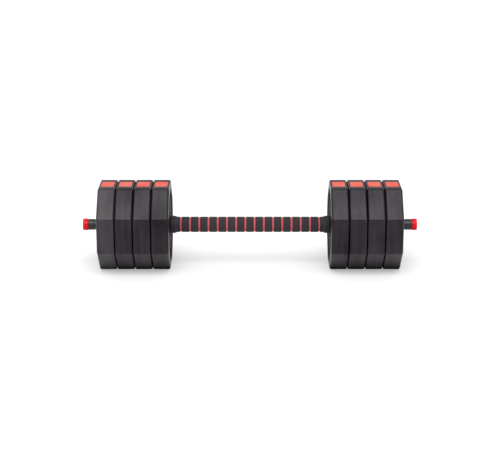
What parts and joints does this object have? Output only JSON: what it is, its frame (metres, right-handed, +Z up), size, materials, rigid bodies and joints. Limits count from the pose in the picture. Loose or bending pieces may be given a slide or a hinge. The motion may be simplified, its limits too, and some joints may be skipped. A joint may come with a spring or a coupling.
{
  "type": "adjustable dumbbell",
  "caption": "Adjustable dumbbell set up as a short barbell: foam-covered connecting rod, screw-on bar ends, octagonal filled plates and star nuts.",
  "frame": {"origin": "middle of the grip, on the bar's axis, which is also the middle of the whole object", "axes": "+X along the bar to the right end; +Z up, square to the flats that the plates stand on; -Y towards the person who stands in front of it"},
  "size_m": [0.799, 0.2, 0.2],
  "materials": {
    "painted_steel": "satin black coat on the steel tube of the grip",
    "steel": "turned and zinc-plated, fine turning lines",
    "shell_plastic": "moulded black shell with a soft satin sheen and faint scuffs",
    "concrete": "rough cast cement filling, grey",
    "red_plastic": "glossy red moulded caps",
    "filler_red": "satin red plug in the filling hole",
    "black_plastic": "glossy black threaded sleeve",
    "nut_plastic": "satin black moulded nut",
    "rubber": "matt black rubber",
    "foam_black": "closed-cell black foam with fine pores",
    "foam_red": "closed-cell dark red foam"
  },
  "bodies": {
    "grip_rod": {"connector_tube": "painted_steel", "foam_liner_red": "foam_red", "foam_band_01": "foam_black", "foam_band_02": "foam_black", "foam_band_03": "foam_black", "foam_band_04": "foam_black", "foam_band_05": "foam_black", "foam_band_06": "foam_black", "foam_band_07": "foam_black", "foam_band_08": "foam_black", "foam_band_09": "foam_black", "foam_band_10": "foam_black", "foam_band_11": "foam_black", "foam_band_12": "foam_black", "foam_band_13": "foam_black", "foam_band_14": "foam_black", "foam_band_15": "foam_black", "right_thread_insert": "steel", "right_end_collar": "rubber", "left_thread_insert": "steel", "left_end_collar": "rubber"},
    "right_thrust_ring": {"right_thrust_washer": "steel"},
    "right_bar_end": {"right_coupling_stud": "steel", "right_bar_tube": "steel", "right_threaded_sleeve": "black_plastic", "right_end_cap": "red_plastic"},
    "right_plate_1": {"right_plate_1_shell": "shell_plastic", "right_plate_1_filling": "concrete", "right_plate_1_filler_cap": "filler_red"},
    "right_plate_2": {"right_plate_2_shell": "shell_plastic", "right_plate_2_filling": "concrete", "right_plate_2_filler_cap": "filler_red"},
    "right_plate_3": {"right_plate_3_shell": "shell_plastic", "right_plate_3_filling": "concrete", "right_plate_3_filler_cap": "filler_red"},
    "right_plate_4": {"right_plate_4_shell": "shell_plastic", "right_plate_4_filling": "concrete", "right_plate_4_filler_cap": "filler_red"},
    "right_lock_washer": {"right_nut_washer": "rubber"},
    "right_lock_nut": {"right_star_nut": "nut_plastic"},
    "left_thrust_ring": {"left_thrust_washer": "steel"},
    "left_bar_end": {"left_coupling_stud": "steel", "left_bar_tube": "steel", "left_threaded_sleeve": "black_plastic", "left_end_cap": "red_plastic"},
    "left_plate_1": {"left_plate_1_shell": "shell_plastic", "left_plate_1_filling": "concrete", "left_plate_1_filler_cap": "filler_red"},
    "left_plate_2": {"left_plate_2_shell": "shell_plastic", "left_plate_2_filling": "concrete", "left_plate_2_filler_cap": "filler_red"},
    "left_plate_3": {"left_plate_3_shell": "shell_plastic", "left_plate_3_filling": "concrete", "left_plate_3_filler_cap": "filler_red"},
    "left_plate_4": {"left_plate_4_shell": "shell_plastic", "left_plate_4_filling": "concrete", "left_plate_4_filler_cap": "filler_red"},
    "left_lock_washer": {"left_nut_washer": "rubber"},
    "left_lock_nut": {"left_star_nut": "nut_plastic"}
  },
  "joints": [
    {"name": "right_bar_travel", "type": "slide", "parent": "grip_rod", "child": "right_thrust_ring", "axis": [1, 0, 0], "range_m": [0, 0.04]},
    {"name": "right_bar_unscrew", "type": "hinge", "parent": "right_thrust_ring", "child": "right_bar_end", "pos_m": [0.1895, 0, 0], "axis": [1, 0, 0], "range_deg": [0, 5760]},
    {"name": "right_plate_1_slide", "type": "slide", "parent": "right_bar_end", "child": "right_plate_1", "axis": [1, 0, 0], "range_m": [0, 0.2122]},
    {"name": "right_plate_2_slide", "type": "slide", "parent": "right_plate_1", "child": "right_plate_2", "axis": [1, 0, 0], "range_m": [0, 0.1698]},
    {"name": "right_plate_3_slide", "type": "slide", "parent": "right_plate_2", "child": "right_plate_3", "axis": [1, 0, 0], "range_m": [0, 0.1274]},
    {"name": "right_plate_4_slide", "type": "slide", "parent": "right_plate_3", "child": "right_plate_4", "axis": [1, 0, 0], "range_m": [0, 0.085]},
    {"name": "right_nut_travel", "type": "slide", "parent": "right_plate_4", "child": "right_lock_washer", "axis": [1, 0, 0], "range_m": [0, 0.058]},
    {"name": "right_nut_turn", "type": "hinge", "parent": "right_lock_washer", "child": "right_lock_nut", "pos_m": [0.3512, 0, 0], "axis": [1, 0, 0], "range_deg": [0, 3480]},
    {"name": "left_bar_travel", "type": "slide", "parent": "grip_rod", "child": "left_thrust_ring", "axis": [-1, 0, 0], "range_m": [0, 0.04]},
    {"name": "left_bar_unscrew", "type": "hinge", "parent": "left_thrust_ring", "child": "left_bar_end", "pos_m": [-0.1895, 0, 0], "axis": [-1, 0, 0], "range_deg": [0, 5760]},
    {"name": "left_plate_1_slide", "type": "slide", "parent": "left_bar_end", "child": "left_plate_1", "axis": [-1, 0, 0], "range_m": [0, 0.2122]},
    {"name": "left_plate_2_slide", "type": "slide", "parent": "left_plate_1", "child": "left_plate_2", "axis": [-1, 0, 0], "range_m": [0, 0.1698]},
    {"name": "left_plate_3_slide", "type": "slide", "parent": "left_plate_2", "child": "left_plate_3", "axis": [-1, 0, 0], "range_m": [0, 0.1274]},
    {"name": "left_plate_4_slide", "type": "slide", "parent": "left_plate_3", "child": "left_plate_4", "axis": [-1, 0, 0], "range_m": [0, 0.085]},
    {"name": "left_nut_travel", "type": "slide", "parent": "left_plate_4", "child": "left_lock_washer", "axis": [-1, 0, 0], "range_m": [0, 0.058]},
    {"name": "left_nut_turn", "type": "hinge", "parent": "left_lock_washer", "child": "left_lock_nut", "pos_m": [-0.3512, 0, 0], "axis": [-1, 0, 0], "range_deg": [0, 3480]}
  ],
  "couplings": [
    {"joint": "right_bar_unscrew", "follows": "right_bar_travel", "rad_per_m": 2513.3},
    {"joint": "right_nut_turn", "follows": "right_nut_travel", "rad_per_m": 1047.2},
    {"joint": "left_bar_unscrew", "follows": "left_bar_travel", "rad_per_m": 2513.3},
    {"joint": "left_nut_turn", "follows": "left_nut_travel", "rad_per_m": 1047.2}
  ]
}
